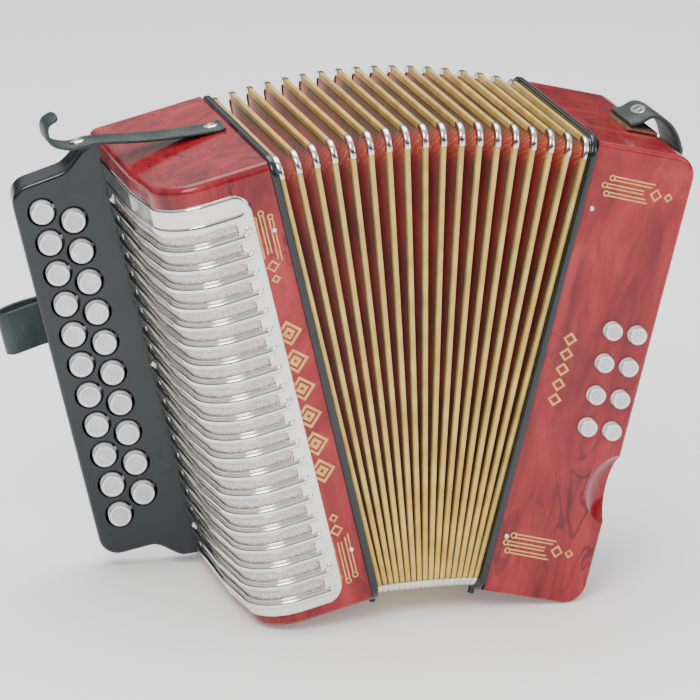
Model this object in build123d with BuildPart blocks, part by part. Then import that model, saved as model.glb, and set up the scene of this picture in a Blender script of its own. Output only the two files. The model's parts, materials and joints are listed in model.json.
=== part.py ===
from build123d import *

import os
from math import asin, atan2, cos, degrees, hypot, radians, sin

# Two-row button accordion, bellows part open in a fan, standing on the outer
# lower edges of its two casings.
#
# The treble pieces are drawn upright in the treble casing's own frame: x = 0 at
# the bellows face and negative towards the buttons, y = 0 at the front face and
# positive towards the player, z = 0 at the bottom face. The bass pieces use the
# same frame mirrored, with x positive towards the strap. Each piece is seated in
# the standing instrument once it is finished. All sizes are in millimetres.

# ---- driving dimensions -------------------------------------------------------
casing_height = 280.0
casing_depth = 156.0
casing_wall = 6.0

treble_width = 71.0
nose_radius = 26.0          # rounded front corner under the grille
nose_setback = 3.0          # the end face steps in by this much at the nose
nose_taper_y = 60.0         # where the end face reaches its full width
top_round = 5.0             # rounded front edge of the treble casing

bass_width = 63.7
bass_outer_round = 13.0     # outer top and bottom edges of the bass casing
bass_back_round = 9.0       # upright edge at the back
bass_edge_round = 3.0       # every other long edge

fold_count = 17             # folds, one fewer than the taped ridges
fold_pitch = 3.35           # ridge to ridge when the bellows are closed
fan_angle = 27.3            # angle between the casings as the instrument stands
fan_more = 18.0             # further opening beyond that
fold_depth = 24.0           # ridge to valley
ridge_card = 2.2            # one taped ridge with its two cards
fold_block = 5.9            # a pair of ridges pressed flat
bellows_corner = 9.0
bellows_inset = 1.0         # bellows inside the casing's outline
frame_thick = 4.6           # black bellows frame
frame_proud = 2.0           # frame beyond the casing's outline
stand_off = 6.2             # casing face to the plane of the first ridge

sheet = 0.9                 # grille metal
grille_edge_x = -15.0
grille_low = 7.5
grille_high = 268.0
grille_back = 130.0
grille_corner = 12.0
rib_count = 20
rib_pitch = 11.9
rib_first = 15.6
rib_tall = 5.4
rib_proud = 2.2
window_edge_x = -26.0
window_back = 118.0
casing_window_edge_x = -22.0
casing_window_low = 12.0
casing_window_high = 250.0
casing_window_back = 124.0
cloth = 0.8

board_angle = 7.5           # the fingerboard faces slightly outwards
board_front_y = 133.0
board_thick = 21.0
board_face = 5.0
board_wall = 4.0
board_back = 3.0
board_reach = 58.0          # how far it stands out from the casing
board_low = 20.5
board_high = 264.0

button_radius = 7.0
button_gap = 1.7            # round each treble button
button_proud = 3.6
button_depth = 6.0
button_pitch = 19.9
outer_reach = 42.0          # outer column from the casing
inner_reach = 25.0
outer_top = 245.2           # highest button
outer_count = 11
inner_count = 10
key_turn = 5.0              # degrees a treble key turns when pressed

soundboard_x = -25.0        # treble soundboard, bellows side
soundboard_thick = 6.0
axle_radius = 1.5
axle_clearance = 0.05
axle_x = -61.5
axle_y = 145.5
hub_radius = 3.4
lever_width = 4.0
lever_thick = 2.6
lever_bend_x = -45.0
pallet_lift = 0.3           # leather nap between pallet and soundboard
pallet_thick = 4.0
pallet_long = 22.0
pallet_gap = 3.3            # between neighbouring pallets
outer_pallet_y = 62.0
inner_pallet_y = 96.0
hole_long = 14.0
hole_wide = 9.0

block_low = 34.0
block_high = 246.0
block_thick = 22.0
block_tall = 37.0           # soundboard to the block's crown
block_count = 11
chamber_tall = 28.0
chamber_wide = 13.0
plate_thick = 1.5
reed_thick = 0.6

bass_soundboard_x = 20.0
bass_button_radius = 5.5
bass_button_gap = 0.5
bass_button_proud = 4.2
bass_travel = 3.6
bass_columns = (37.4, 53.0)
bass_rows = (170.0, 150.0, 130.0, 110.0)
plunger_radius = 2.0
plunger_long = 24.0
plunger_clearance = 0.1
guide_y = 15.0
guide_thick = 3.0
guide_tall = 84.0
guide_z = 140.0

air_button_z = 69.0
air_button_y = 34.0
air_button_radius = 7.0
air_travel = 4.0

cover_thick = 4.0
cover_margin = 14.0
cover_gap = 0.25

scoop_radius = 27.0         # thumb scoop in the front edge, beside the air button
scoop_out = 6.3
scoop_front = 14.0
scoop_z = 74.0
scoop_block = 15.0
scoop_block_deep = 12.0
scoop_block_tall = 46.0

strap_y = 88.0              # bellows strap, middle of its width
strap_width = 18.0
strap_thick = 2.2
strap_stud_x = -11.0
stud_radius = 4.6
stud_shank = 2.0
stud_tall = 4.4
screw_radius = 2.1
screw_tall = 1.2
pin_x = 5.4                 # bellows pins, from the bellows face
pin_low = 36.0
pin_high = 240.0
foot_radius = 2.0            # small feet under the bellows frames
foot_tall = 4.0
foot_in = 14.0              # from the front and from the back
hand_strap_y = 65.5
hand_strap_width = 37.0
hand_strap_thick = 2.6
thumb_strap_z = 170.0
thumb_strap_width = 27.0
thumb_strap_thick = 2.4
thumb_strap_end = -10.0      # where its screwed ends stop, from the casing

# ---- what follows from them -----------------------------------------------------
fold_angle = fan_angle / fold_count
fan_radius = fold_pitch / radians(fold_angle)
pole_z = bellows_inset - fan_radius
closed_length = fold_count * fold_pitch
bellows_high = casing_height - bellows_inset
bellows_front = bellows_inset
bellows_back = casing_depth - bellows_inset
frame_open = bellows_inset + fold_depth + 1.0
middle_y = casing_depth / 2

rib_levels = [rib_first + rib * rib_pitch for rib in range(rib_count)]
screw_levels = (grille_low + 23, (grille_low + grille_high) / 2, grille_high - 23)
feet_across = (foot_in, casing_depth - foot_in)
pallet_wide = button_pitch - pallet_gap

pieces = {}


def keep(name, piece, seat):
    """Label a finished piece and seat it in the standing instrument."""
    solid = piece.part.moved(seat)
    solid.label = name
    pieces[name] = solid


def fan_seat(steps):
    """From a ridge's own plane to the treble frame, that many folds away."""
    turned = Location((stand_off, 0, pole_z), (0, steps * fold_angle, 0))
    return turned * Location((0, 0, -pole_z))


def hinge_of_fold(steps):
    """Pole that carries a ridge from its closed place to its place in the fan."""
    half = radians(steps * fold_angle) / 2
    length = steps * fold_pitch
    drop = length / 2 * (sin(half) / half - cos(half)) / sin(half)
    return (stand_off + length / 2, bellows_inset - drop)


# The two casings rest on their outer lower edges, so the whole fan is leant
# until the sharp treble edge and the rounded bass edge are level.
bass_seat_upright = fan_seat(fold_count) * Location((stand_off, 0, 0))
bass_edge = bass_seat_upright * Location((bass_width - bass_outer_round, 0, bass_outer_round))
edge_run = bass_edge.position.X + treble_width
edge_rise = bass_edge.position.Z
treble_lean = degrees(asin(bass_outer_round / hypot(edge_run, edge_rise)) - atan2(edge_rise, edge_run))
treble_seat = Location((0, 0, 0), (0, -treble_lean, 0))
bass_seat = treble_seat * bass_seat_upright


def treble_plan(inset, mouth):
    """Casing plan inside a BuildLine, stepped in by inset, up to x = mouth."""
    nose_x = nose_radius + nose_setback - treble_width
    Line((mouth, inset), (nose_x, inset))
    CenterArc((nose_x, nose_radius), nose_radius - inset, 180, 90)
    Polyline(
        (nose_setback - treble_width + inset, nose_radius),
        (inset - treble_width, nose_taper_y),
        (inset - treble_width, casing_depth - inset),
        (mouth, casing_depth - inset),
        (mouth, inset),
    )


# ---- treble casing --------------------------------------------------------------
with BuildPart() as treble_casing:
    with BuildSketch():
        with BuildLine():
            treble_plan(0, 0)
        make_face()
    extrude(amount=casing_height)
    front_edges = treble_casing.edges().filter_by(Axis.X).group_by(Axis.Y)[0]
    fillet(front_edges, top_round)
    with BuildSketch(Plane.XY.offset(casing_wall)):
        with BuildLine():
            treble_plan(casing_wall, 1)
        make_face()
    extrude(amount=casing_height - 2 * casing_wall, mode=Mode.SUBTRACT)
    # opening behind the grille
    with BuildSketch(Plane.XY.offset(casing_window_low)):
        with Locations((casing_window_edge_x, -1)):
            Rectangle(treble_width, casing_window_back + 1, align=(Align.MAX, Align.MIN))
    extrude(amount=casing_window_high - casing_window_low, mode=Mode.SUBTRACT)
    # slot that lets the key levers into the fingerboard
    with BuildSketch(Plane.XY.offset(board_low + 12)):
        with Locations((-treble_width, axle_y)):
            Rectangle(3 * casing_wall, 2 * hub_radius + 2.6)
    extrude(amount=board_high - board_low - 22, mode=Mode.SUBTRACT)
keep("treble_casing", treble_casing, treble_seat)

# ---- grille: stamped sheet wrapped round the nose, half-round ribs and open slots ----
with BuildPart() as treble_grille:
    with BuildSketch(Plane.XY.offset(grille_low)):
        with BuildLine():
            treble_plan(-sheet, 0)
        make_face()
        with BuildLine():
            treble_plan(0, 1)
        make_face(mode=Mode.SUBTRACT)
        with Locations((1, -5)):
            Rectangle(1 - grille_edge_x, 20, align=(Align.MAX, Align.MIN), mode=Mode.SUBTRACT)
        with Locations((0, grille_back)):
            Rectangle(200, 60, align=(Align.CENTER, Align.MIN), mode=Mode.SUBTRACT)
    extrude(amount=grille_high - grille_low)
    right_corners = treble_grille.edges().filter_by(Axis.Y).group_by(Axis.X)[-1]
    fillet(right_corners, grille_corner)
    slot_planes = [Plane.XY.offset(level + rib_tall / 2) for level in rib_levels[:-1]]
    with BuildSketch(*slot_planes):
        with Locations((window_edge_x, -20)):
            Rectangle(90, window_back + 20, align=(Align.MAX, Align.MIN))
    extrude(amount=rib_pitch - rib_tall, mode=Mode.SUBTRACT)
    with BuildSketch(*[Plane.XY.offset(level - rib_tall / 2) for level in rib_levels]):
        with BuildLine():
            treble_plan(-sheet - rib_proud, 0)
        make_face()
        with BuildLine():
            treble_plan(-sheet / 2, 1)
        make_face(mode=Mode.SUBTRACT)
        with Locations((1, -5)):
            Rectangle(1 - window_edge_x, 20, align=(Align.MAX, Align.MIN), mode=Mode.SUBTRACT)
        with Locations((0, window_back)):
            Rectangle(200, 80, align=(Align.CENTER, Align.MIN), mode=Mode.SUBTRACT)
    extrude(amount=rib_tall)
keep("treble_grille", treble_grille, treble_seat)

# woven metal cloth fixed behind the grille, inside the casing's opening
with BuildPart() as grille_cloth:
    with BuildSketch(Plane.XY.offset(casing_window_low + 0.4)):
        with BuildLine():
            treble_plan(0, 1)
        make_face()
        with BuildLine():
            treble_plan(cloth, 2)
        make_face(mode=Mode.SUBTRACT)
        with Locations((3, -5)):
            Rectangle(3.4 - casing_window_edge_x, 20, align=(Align.MAX, Align.MIN), mode=Mode.SUBTRACT)
        with Locations((0, casing_window_back - 0.4)):
            Rectangle(200, 80, align=(Align.CENTER, Align.MIN), mode=Mode.SUBTRACT)
    extrude(amount=casing_window_high - casing_window_low - 0.8)
keep("grille_cloth", grille_cloth, treble_seat)

# ---- fingerboard: hollow black board with a hole for each button ---------------------
# The board's own plane lies in its front face: x runs towards the casing, y is up.
board_plane = Plane(
    origin=(-treble_width, board_front_y, 0),
    x_dir=(cos(radians(board_angle)), -sin(radians(board_angle)), 0),
    z_dir=(-sin(radians(board_angle)), -cos(radians(board_angle)), 0),
)
outer_buttons = [(-outer_reach, outer_top - row * button_pitch) for row in range(outer_count)]
inner_buttons = [(-inner_reach, outer_top - (row + 0.5) * button_pitch) for row in range(inner_count)]
buttons = sorted(outer_buttons + inner_buttons, key=lambda place: -place[1])


def board_outline(inset):
    """Fingerboard outline inside a BuildLine: scooped shoulders where it meets the casing."""
    left = inset - board_reach
    low = board_low + inset
    high = board_high - inset
    foot = Line((10, low - 12), (-8, low - 12))
    scoop = Spline((-8, low - 12), (-17, low - 4), (-28, low), tangents=((-1, 0), (-1, 0)))
    Line(scoop @ 1, (left + 12, low))
    CenterArc((left + 12, low + 12), 12, 180, 90)
    Line((left, low + 12), (left, high - 12))
    CenterArc((left + 12, high - 12), 12, 90, 90)
    Line((left + 12, high), (-27, high + 2))
    shoulder = Spline((-27, high + 2), (-17, high + 6), (-10, high + 13), tangents=((1, 0.1), (1, 0.1)))
    Polyline(shoulder @ 1, (10, high + 13), foot @ 0)


with BuildPart() as fingerboard:
    with BuildSketch(board_plane):
        with BuildLine():
            board_outline(0)
        make_face()
    extrude(amount=-board_thick)
    with BuildSketch(board_plane.offset(-board_face)):
        with BuildLine():
            board_outline(board_wall)
        make_face()
    extrude(amount=-board_thick, mode=Mode.SUBTRACT)
    with BuildSketch(board_plane):
        with Locations(*buttons):
            Circle(button_radius + button_gap)
    extrude(amount=-2 * board_face, mode=Mode.SUBTRACT)
    # the root is cut flush with the casing's end face
    with BuildSketch():
        with Locations((-treble_width, 0)):
            Rectangle(60, 2 * casing_depth, align=(Align.MIN, Align.CENTER))
    extrude(amount=casing_height, mode=Mode.SUBTRACT)
keep("fingerboard", fingerboard, treble_seat)

with BuildPart() as fingerboard_back:
    with BuildSketch(board_plane.offset(-board_thick)):
        with BuildLine():
            board_outline(board_wall + 0.2)
        make_face()
    extrude(amount=board_back)
    with BuildSketch():
        with Locations((-treble_width, 0)):
            Rectangle(60, 2 * casing_depth, align=(Align.MIN, Align.CENTER))
    extrude(amount=casing_height, mode=Mode.SUBTRACT)
keep("fingerboard_back", fingerboard_back, treble_seat)

# ---- treble action: one axle, a bent lever under each button, a pallet at its end -----
with BuildPart() as treble_lever_axle:
    with BuildSketch(Plane.XY.offset(casing_wall)):
        with Locations((axle_x, axle_y)):
            Circle(axle_radius)
    extrude(amount=casing_height - 2 * casing_wall)
keep("treble_lever_axle", treble_lever_axle, treble_seat)


def bar(start, end, width):
    """Flat bar with round ends inside a BuildSketch."""
    run = hypot(end[0] - start[0], end[1] - start[1])
    heading = degrees(atan2(end[1] - start[1], end[0] - start[0]))
    with Locations(((start[0] + end[0]) / 2, (start[1] + end[1]) / 2)):
        SlotCenterToCenter(run, width, rotation=heading)


for number, (reach, level) in enumerate(buttons, start=1):
    outer = (reach, level) in outer_buttons
    pallet_y = outer_pallet_y if outer else inner_pallet_y
    face = soundboard_x - soundboard_thick - pallet_lift
    button_foot = board_plane.offset(-button_depth - 1).from_local_coords((reach, level, 0))
    with BuildPart() as treble_key:
        with BuildSketch(board_plane.offset(button_proud)):
            with Locations((reach, level)):
                Circle(button_radius)
        extrude(amount=-button_proud - button_depth)
        fillet(treble_key.edges().filter_by(GeomType.CIRCLE), 0.8)
        with BuildSketch(Plane.XY.offset(level - lever_thick / 2)):
            bar((axle_x, axle_y), (button_foot.X, button_foot.Y), lever_width)
            bar((axle_x, axle_y), (lever_bend_x, pallet_y), lever_width)
            bar((lever_bend_x, pallet_y), (face - pallet_thick / 2, pallet_y), lever_width)
        extrude(amount=lever_thick)
        with BuildSketch(Plane.XY.offset(level - lever_width / 2)):
            with Locations((axle_x, axle_y)):
                Circle(hub_radius)
        extrude(amount=lever_width)
        with BuildSketch(Plane.XY.offset(level - pallet_wide / 2)):
            with Locations((face, pallet_y)):
                Rectangle(pallet_thick, pallet_long, align=(Align.MAX, Align.CENTER))
        extrude(amount=pallet_wide)
        with BuildSketch(Plane.XY.offset(level - lever_width)):
            with Locations((axle_x, axle_y)):
                Circle(axle_radius + axle_clearance)
        extrude(amount=2 * lever_width, mode=Mode.SUBTRACT)
    keep(f"treble_key_{number:02d}", treble_key, treble_seat)


# ---- soundboards, reed blocks and reed plates ------------------------------------------
def block_levels(low, high, count):
    """Middles of the chambers, evenly spaced between two heights."""
    step = (high - low) / count
    return [low + step * (index + 0.5) for index in range(count)]


with BuildPart() as treble_soundboard:
    with BuildSketch(Plane.YZ.offset(soundboard_x)):
        with Locations((middle_y, casing_height / 2)):
            Rectangle(casing_depth - 2 * casing_wall, casing_height - 2 * casing_wall)
        for reach, level in buttons:
            pallet_y = outer_pallet_y if (reach, level) in outer_buttons else inner_pallet_y
            with Locations((pallet_y, level)):
                Rectangle(hole_long, hole_wide, mode=Mode.SUBTRACT)
    extrude(amount=-soundboard_thick)
keep("treble_soundboard", treble_soundboard, treble_seat)

with BuildPart() as treble_reed_blocks:
    with BuildSketch(Plane.YZ.offset(soundboard_x)):
        with Locations((outer_pallet_y, (block_low + block_high) / 2), (inner_pallet_y, (block_low + block_high) / 2)):
            Rectangle(block_thick, block_high - block_low)
    extrude(amount=block_tall)
    with BuildSketch(Plane.YZ.offset(soundboard_x)):
        for level in block_levels(block_low, block_high, block_count):
            with Locations((outer_pallet_y, level), (inner_pallet_y, level)):
                Rectangle(block_thick, chamber_wide)
    extrude(amount=chamber_tall, mode=Mode.SUBTRACT)
keep("treble_reed_blocks", treble_reed_blocks, treble_seat)


def reed_plates(block_middles, root_x, outward, levels):
    """Reed plates with their tongues on both cheeks of each block, inside a BuildPart."""
    plate_tall = block_tall - 2
    middle_x = root_x + outward * (plate_tall / 2 + 1)
    plate_wide = (levels[1] - levels[0]) - 1.5
    for middle in block_middles:
        for cheek in (-1, 1):
            plate_y = middle + cheek * (block_thick + plate_thick) / 2
            tongue_y = plate_y + cheek * (plate_thick + reed_thick) / 2
            with Locations(*[(middle_x, plate_y, level) for level in levels]):
                Box(plate_tall, plate_thick, plate_wide)
            with Locations(*[(middle_x, tongue_y, level) for level in levels]):
                Box(plate_tall - 8, reed_thick, plate_wide / 4)


with BuildPart() as treble_reed_plates:
    reed_plates(
        (outer_pallet_y, inner_pallet_y),
        soundboard_x,
        1,
        block_levels(block_low, block_high, block_count),
    )
keep("treble_reed_plates", treble_reed_plates, treble_seat)


# ---- bellows --------------------------------------------------------------------------------
def bellows_outline(proud):
    """Outline of the bellows, or of a frame proud of it, inside a BuildSketch."""
    with Locations((middle_y, casing_height / 2)):
        RectangleRounded(
            casing_depth - 2 * bellows_inset + 2 * proud,
            casing_height - 2 * bellows_inset + 2 * proud,
            bellows_corner + proud,
        )


def air_way(margin):
    """Open middle of a frame or fold, inside a BuildSketch."""
    with Locations((middle_y, casing_height / 2)):
        Rectangle(casing_depth - 2 * margin, casing_height - 2 * margin, mode=Mode.SUBTRACT)


for side, outward, seat in (("treble", 1, treble_seat), ("bass", -1, bass_seat)):
    with BuildPart() as bellows_frame:
        with BuildSketch(Plane.YZ):
            bellows_outline(bellows_inset + frame_proud)
            air_way(frame_open)
        extrude(amount=outward * frame_thick)
        with BuildSketch(Plane.YZ):
            bellows_outline(0)
            air_way(frame_open)
        extrude(amount=outward * (stand_off + ridge_card / 2))
    keep(f"{side}_bellows_frame", bellows_frame, seat)

# Each fold piece is a pair of ridges pressed flat and joined at their valley.
for fold in range(1, fold_count // 2 + 1):
    with BuildPart() as bellows_fold:
        with BuildSketch(Plane.YZ.offset(-fold_block / 2)):
            bellows_outline(0)
            air_way(frame_open)
        extrude(amount=fold_block)
        with BuildSketch(Plane.YZ.offset(ridge_card - fold_block / 2)):
            bellows_outline(1)
            with Locations((middle_y, casing_height / 2)):
                Rectangle(
                    casing_depth - 2 * frame_open + 2 * ridge_card,
                    casing_height - 2 * frame_open + 2 * ridge_card,
                    mode=Mode.SUBTRACT,
                )
        extrude(amount=fold_block - 2 * ridge_card, mode=Mode.SUBTRACT)
    keep(f"bellows_fold_{fold}", bellows_fold, treble_seat * fan_seat(2 * fold - 0.5))

# ---- bass casing, its end cover and the button plungers ---------------------------------------
cover_deep = casing_depth - 2 * cover_margin
cover_tall = casing_height - 2 * (bass_outer_round + 3)
button_places = [(column, row) for row in bass_rows for column in bass_columns]

with BuildPart() as bass_casing:
    with BuildSketch(Plane.XZ) as end_view:
        Rectangle(bass_width, casing_height, align=Align.MIN)
        fillet(end_view.vertices().group_by(Axis.X)[-1], bass_outer_round)
    extrude(amount=-casing_depth)
    for face_at, rounding in ((0, bass_edge_round), (-1, bass_back_round)):
        rim = bass_casing.faces().sort_by(Axis.Y)[face_at].edges()
        fillet(rim.sort_by(Axis.X)[1:], rounding)
    with BuildSketch(Plane.XY.offset(casing_wall)):
        with Locations((-1, casing_wall)):
            Rectangle(bass_width - casing_wall + 1, casing_depth - 2 * casing_wall, align=Align.MIN)
    extrude(amount=casing_height - 2 * casing_wall, mode=Mode.SUBTRACT)
    with BuildSketch(Plane.XZ):
        with Locations(*button_places):
            Circle(bass_button_radius + bass_button_gap)
    extrude(amount=-2 * casing_wall, mode=Mode.SUBTRACT)
    # rebate for the end cover, and the opening that it closes
    with BuildSketch(Plane.YZ.offset(bass_width - cover_thick)):
        with Locations((middle_y, casing_height / 2)):
            RectangleRounded(cover_deep, cover_tall, 8)
    extrude(amount=cover_thick + 1, mode=Mode.SUBTRACT)
    with BuildSketch(Plane.YZ.offset(bass_width - casing_wall - 1)):
        with Locations((middle_y, casing_height / 2)):
            RectangleRounded(cover_deep - 16, cover_tall - 16, 6)
    extrude(amount=casing_wall + 2, mode=Mode.SUBTRACT)
    # thumb scoop, with a block in the corner behind it
    with Locations((bass_width - casing_wall, casing_wall, scoop_z)):
        Box(scoop_block, scoop_block_deep, scoop_block_tall, align=(Align.MAX, Align.MIN, Align.CENTER))
    with Locations((bass_width + scoop_out, -scoop_front, scoop_z)):
        Sphere(scoop_radius, mode=Mode.SUBTRACT)
keep("bass_casing", bass_casing, bass_seat)

with BuildPart() as bass_end_cover:
    with BuildSketch(Plane.YZ.offset(bass_width - cover_thick)):
        with Locations((middle_y, casing_height / 2)):
            RectangleRounded(cover_deep - 2 * cover_gap, cover_tall - 2 * cover_gap, 8 - cover_gap)
        with Locations((air_button_y, air_button_z)):
            Circle(air_button_radius + bass_button_gap, mode=Mode.SUBTRACT)
    extrude(amount=cover_thick)
keep("bass_end_cover", bass_end_cover, bass_seat)

for number, (column, row) in enumerate(button_places, start=1):
    with BuildPart() as bass_button:
        with BuildSketch(Plane.XZ.offset(bass_button_proud)):
            with Locations((column, row)):
                Circle(bass_button_radius)
        extrude(amount=-bass_button_proud - casing_wall)
        fillet(bass_button.edges().filter_by(GeomType.CIRCLE).sort_by(Axis.Y)[0], 1.0)
        with BuildSketch(Plane.XZ):
            with Locations((column, row)):
                Circle(plunger_radius)
        extrude(amount=-plunger_long)
    keep(f"bass_button_{number}", bass_button, bass_seat)

with BuildPart() as air_button:
    with BuildSketch(Plane.YZ.offset(bass_width - cover_thick)):
        with Locations((air_button_y, air_button_z)):
            Circle(air_button_radius)
    extrude(amount=cover_thick + air_travel + 1)
    fillet(air_button.edges().filter_by(GeomType.CIRCLE).sort_by(Axis.X)[-1], 1.2)
    with BuildSketch(Plane.YZ.offset(bass_width - cover_thick)):
        with Locations((air_button_y, air_button_z)):
            Circle(plunger_radius)
    extrude(amount=-plunger_long)
keep("air_button", air_button, bass_seat)

with BuildPart() as bass_soundboard:
    with BuildSketch(Plane.YZ.offset(bass_soundboard_x)):
        with Locations((middle_y, casing_height / 2)):
            Rectangle(casing_depth - 2 * casing_wall, casing_height - 2 * casing_wall)
        for level in block_levels(block_low, block_high, block_count):
            with Locations((outer_pallet_y, level), (inner_pallet_y, level)):
                Rectangle(hole_long, hole_wide, mode=Mode.SUBTRACT)
    extrude(amount=soundboard_thick)
keep("bass_soundboard", bass_soundboard, bass_seat)

with BuildPart() as bass_reed_blocks:
    block_middle = (block_low + block_high) / 2
    with BuildSketch(Plane.YZ.offset(bass_soundboard_x)):
        with Locations((outer_pallet_y, block_middle), (inner_pallet_y, block_middle)):
            Rectangle(block_thick, block_high - block_low)
    extrude(amount=-block_tall)
    with BuildSketch(Plane.YZ.offset(bass_soundboard_x)):
        for level in block_levels(block_low, block_high, block_count):
            with Locations((outer_pallet_y, level), (inner_pallet_y, level)):
                Rectangle(block_thick, chamber_wide)
    extrude(amount=-chamber_tall, mode=Mode.SUBTRACT)
keep("bass_reed_blocks", bass_reed_blocks, bass_seat)

with BuildPart() as bass_reed_plates:
    reed_plates(
        (outer_pallet_y, inner_pallet_y),
        bass_soundboard_x,
        -1,
        block_levels(block_low, block_high, block_count),
    )
keep("bass_reed_plates", bass_reed_plates, bass_seat)


# ---- straps: each is a leather band traced along its middle line and given its width ------------
# fastened at one end by a stud near the bellows, its free end curls up past the casing
with BuildPart() as bellows_strap:
    top = casing_height + strap_thick / 2
    curl = (
        (-4, top + 0.3),
        (-12, top + 0.3),
        (-47, top + 6),
        (-80, top + 14),
        (-96, top + 15.5),
        (-106, top + 22),
        (-106, top + 32),
        (-98, top + 35.5),
    )
    with BuildSketch(Plane.XZ.offset(-strap_y - strap_width / 2)):
        with BuildLine():
            Spline(*curl)
        trace(line_width=strap_thick)
    extrude(amount=strap_width)
    with BuildSketch(Plane.XY.offset(casing_height)):
        with Locations((strap_stud_x, strap_y)):
            Circle(stud_shank + 0.2)
    extrude(amount=2 * stud_tall, mode=Mode.SUBTRACT)
keep("bellows_strap", bellows_strap, treble_seat)

# over the top edge of the bass casing, down its end and under its lower edge
with BuildPart() as bass_hand_strap:
    over = hand_strap_thick / 2 + 0.3
    reach = bass_width + over
    crown = (
        (35, casing_height + over),
        (41, casing_height + over + 4.5),
        (47, casing_height + over + 9.5),
        (54, casing_height + over + 9),
        (62, casing_height + over + 4.5),
        (reach + 3.5, casing_height - 3),
        (reach + 6, casing_height - 16),
        (reach + 10, casing_height / 2 + 40),
        (reach + 10.5, casing_height / 2 - 10),
        (reach + 7, 50),
        (reach + 1.5, 24),
        (reach, 16),
    )
    with BuildSketch(Plane.XZ.offset(-hand_strap_y - hand_strap_width / 2)):
        with BuildLine():
            Spline(*crown)
        trace(line_width=hand_strap_thick)
    extrude(amount=hand_strap_width)
keep("bass_hand_strap", bass_hand_strap, bass_seat)

# loop for the thumb, both ends screwed to the fingerboard's back
thumb_lie = -board_thick - thumb_strap_thick / 2 - 0.4
thumb_plane = Plane(
    origin=board_plane.from_local_coords((0, thumb_strap_z, 0)),
    x_dir=board_plane.x_dir,
    z_dir=(0, 0, -1),
)
with BuildPart() as thumb_strap:
    with BuildSketch(thumb_plane.offset(-thumb_strap_width / 2)):
        with BuildLine():
            Line((thumb_strap_end, thumb_lie), (-board_reach, thumb_lie))
            Spline(
                (-board_reach, thumb_lie),
                (-board_reach - 12, thumb_lie + 3),
                (-board_reach - 21, thumb_lie + 5),
                (-board_reach - 24.5, thumb_lie),
                (-board_reach - 20, thumb_lie - 7),
                (-board_reach - 4, thumb_lie - 11),
                (-board_reach + 18, thumb_lie - 8),
                (-board_reach + 36, thumb_lie - thumb_strap_thick),
                tangents=((-1, 0), (1, 0)),
            )
            Line((-board_reach + 36, thumb_lie - thumb_strap_thick), (thumb_strap_end, thumb_lie - thumb_strap_thick))
        trace(line_width=thumb_strap_thick - 0.1)
    extrude(amount=thumb_strap_width)
keep("thumb_strap", thumb_strap, treble_seat)

# ---- small metal fittings -----------------------------------------------------------------------
with BuildPart() as treble_fittings:
    # grille screws on the front strip and on the end strip
    with BuildSketch(Plane.XZ.offset(sheet)):
        with Locations(*[((grille_edge_x + window_edge_x) / 2, level) for level in screw_levels]):
            Circle(screw_radius)
    extrude(amount=screw_tall)
    with BuildSketch(Plane.YZ.offset(-treble_width - sheet)):
        with Locations(*[((window_back + grille_back) / 2, level) for level in screw_levels]):
            Circle(screw_radius)
    extrude(amount=-screw_tall)
    # bellows pins, front and back
    for pin_plane, way in ((Plane.XZ, 1), (Plane.XZ.offset(-casing_depth), -1)):
        with BuildSketch(pin_plane):
            with Locations((-pin_x, pin_low), (-pin_x, pin_high)):
                Circle(screw_radius)
        extrude(amount=way * screw_tall)
    # studs for the bellows straps
    with BuildSketch(Plane.XY.offset(casing_height)):
        with Locations((strap_stud_x, strap_y)):
            Circle(stud_shank)
    extrude(amount=stud_tall)
    with BuildSketch(Plane.XY.offset(casing_height + stud_tall - 1)):
        with Locations((strap_stud_x, strap_y)):
            Circle(stud_radius)
    extrude(amount=1.2)
    with BuildSketch(Plane.XY.offset(-frame_proud)):
        with Locations(*[(frame_thick / 2, across) for across in feet_across]):
            Circle(foot_radius)
    extrude(amount=-foot_tall)
keep("treble_fittings", treble_fittings, treble_seat)

with BuildPart() as bass_fittings:
    for pin_plane, way in ((Plane.XZ, 1), (Plane.XZ.offset(-casing_depth), -1)):
        with BuildSketch(pin_plane):
            with Locations((pin_x, pin_low), (pin_x, pin_high)):
                Circle(screw_radius)
        extrude(amount=way * screw_tall)
    # end cover screws
    cover_y = cover_deep / 2 - 5
    cover_z = cover_tall / 2 - 5
    with BuildSketch(Plane.YZ.offset(bass_width)):
        for across in (-cover_y, cover_y):
            for level in (-cover_z, 0, cover_z):
                with Locations((middle_y + across, casing_height / 2 + level)):
                    Circle(screw_radius)
    extrude(amount=screw_tall)
    with BuildSketch(Plane.XY.offset(-frame_proud)):
        with Locations(*[(-frame_thick / 2, across) for across in feet_across]):
            Circle(foot_radius)
    extrude(amount=-foot_tall)
keep("bass_fittings", bass_fittings, bass_seat)

with BuildPart() as bass_button_guide:
    with BuildSketch(Plane.XZ.offset(-guide_y)):
        with Locations(((bass_soundboard_x + soundboard_thick + bass_width - casing_wall) / 2, guide_z)):
            Rectangle(bass_width - casing_wall - bass_soundboard_x - soundboard_thick, guide_tall)
        with Locations(*button_places):
            Circle(plunger_radius + plunger_clearance, mode=Mode.SUBTRACT)
    extrude(amount=-guide_thick)
keep("bass_button_guide", bass_button_guide, bass_seat)

# ---- standing place ---------------------------------------------------------------------------
boxes = [solid.bounding_box() for solid in pieces.values()]
low = [min(getattr(box.min, way) for box in boxes) for way in "XYZ"]
high = [max(getattr(box.max, way) for box in boxes) for way in "XYZ"]
ground = Location((-(low[0] + high[0]) / 2, -(low[1] + high[1]) / 2, -low[2]))

os.makedirs("parts", exist_ok=True)
for name, solid in pieces.items():
    placed = solid.moved(ground)
    placed.label = name
    export_step(placed, f"parts/{name}.step")
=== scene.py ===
import json
import math

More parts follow.
